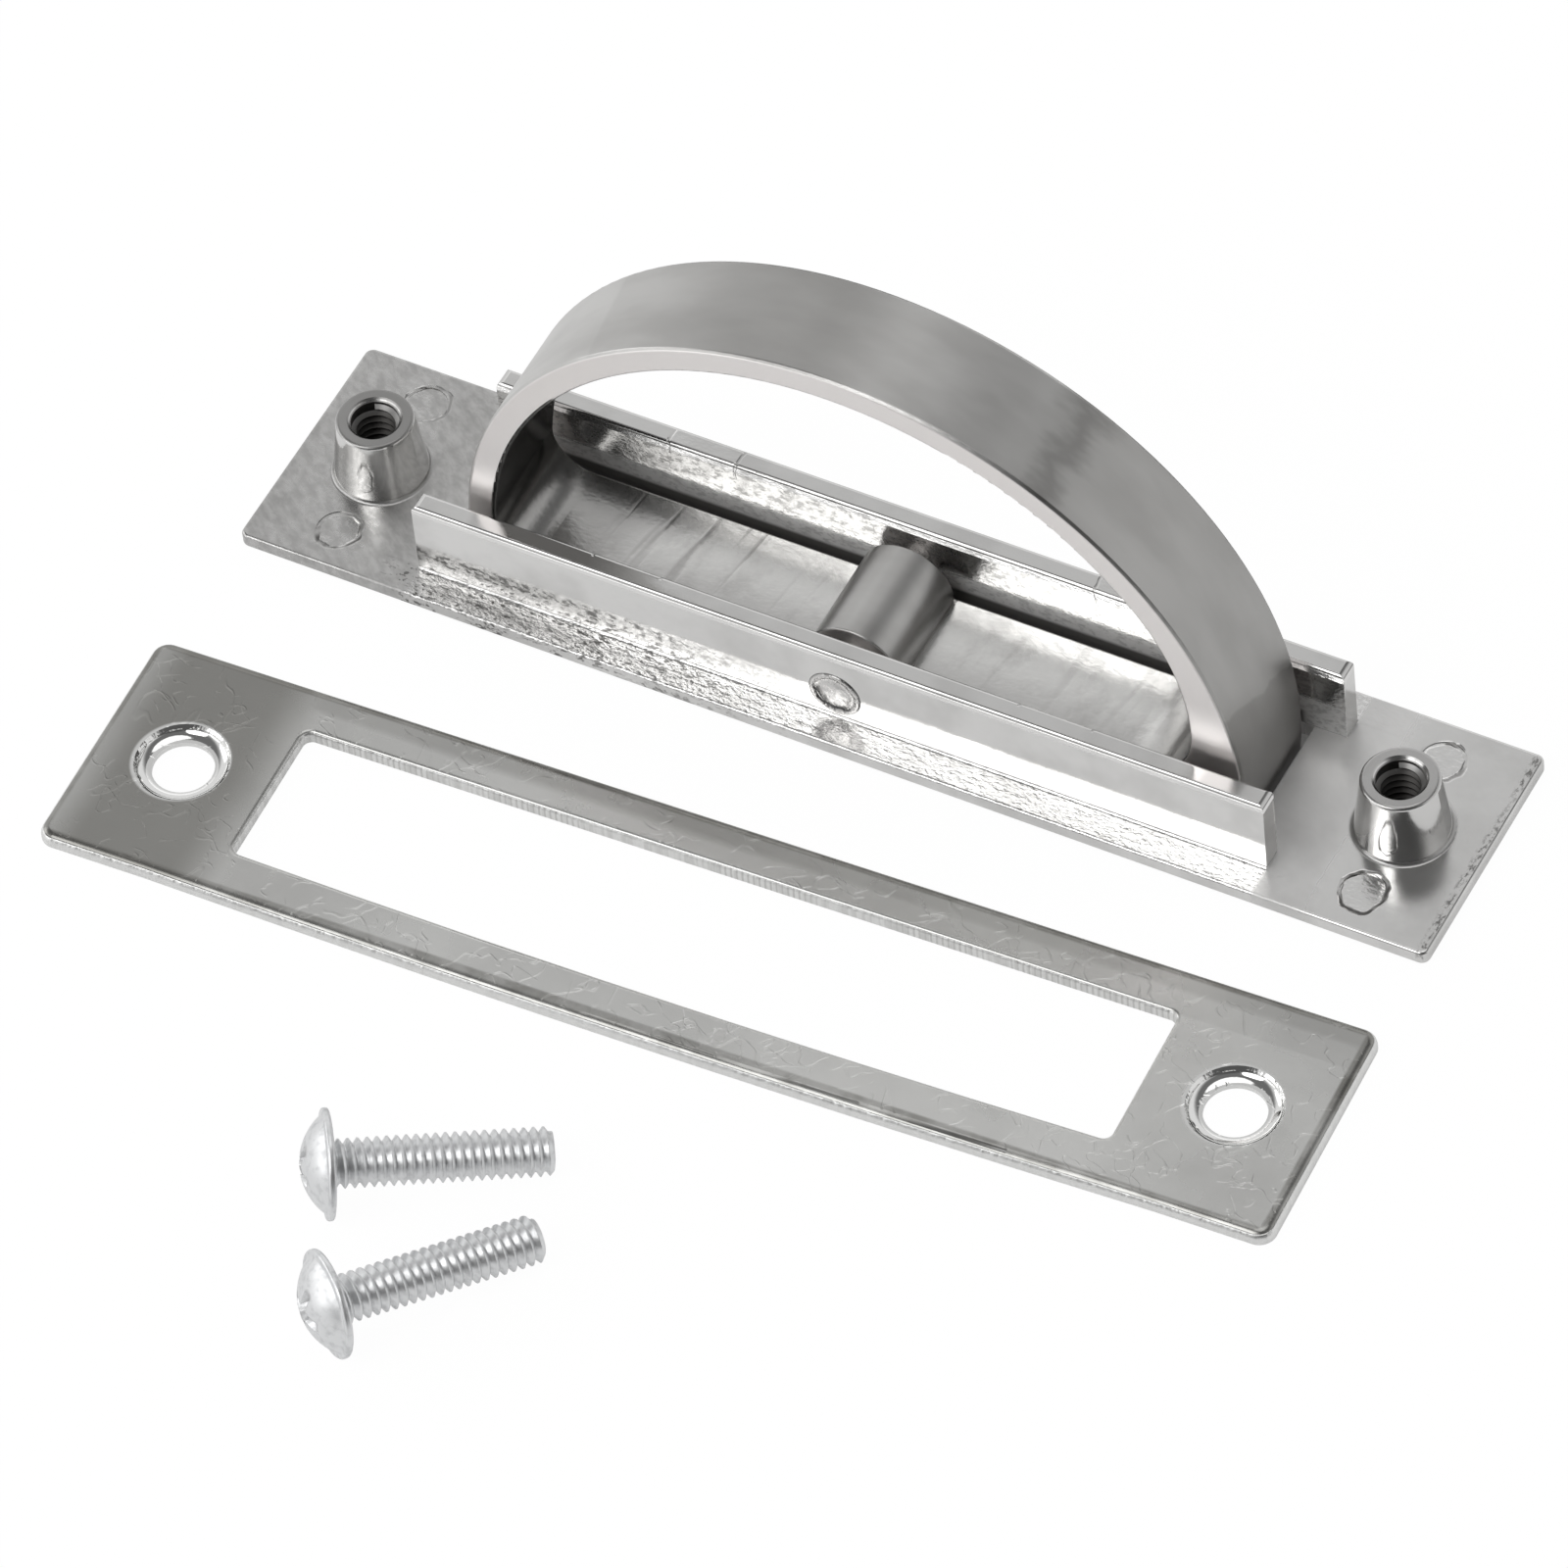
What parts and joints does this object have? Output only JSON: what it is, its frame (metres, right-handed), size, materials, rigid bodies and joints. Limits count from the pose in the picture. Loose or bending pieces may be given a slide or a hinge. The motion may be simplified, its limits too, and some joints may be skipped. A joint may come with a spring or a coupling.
{
  "type": "recessed handle",
  "caption": "Recessed door handle lying on its front face: a D-shaped loop turns on a pin between a flanged body's side walls, with its windowed back plate and cross-recess screws.",
  "frame": {"origin": "middle of the flange's front face, in the plane of the flush tray of the swing handle", "axes": "+X along the flange, +Y across it away from the loose back plate, +Z from the front face into the door, so the handle lies on its front face"},
  "size_m": [0.1127, 0.0959, 0.0405],
  "materials": {
    "bright_casting": "bright nickel plate over a slightly uneven die casting",
    "satin_casting": "satin nickel plate, brushed round the bow",
    "pin_steel": "nickel-plated steel pin, riveted",
    "stamped_plate": "satin nickel plate with fine scratches",
    "zinc_screw": "bright zinc plate, slightly blue"
  },
  "bodies": {
    "body": {"front_body": "bright_casting", "pivot_pin": "pin_steel", "back_plate": "stamped_plate", "fixing_screw_1": "zinc_screw", "fixing_screw_2": "zinc_screw"},
    "handle": {"swing_handle": "satin_casting"}
  },
  "joints": [
    {"name": "handle_turn", "type": "hinge", "parent": "body", "child": "handle", "pos_m": [0, 0, 0.0042], "axis": [0, 1, 0], "continuous": true}
  ]
}
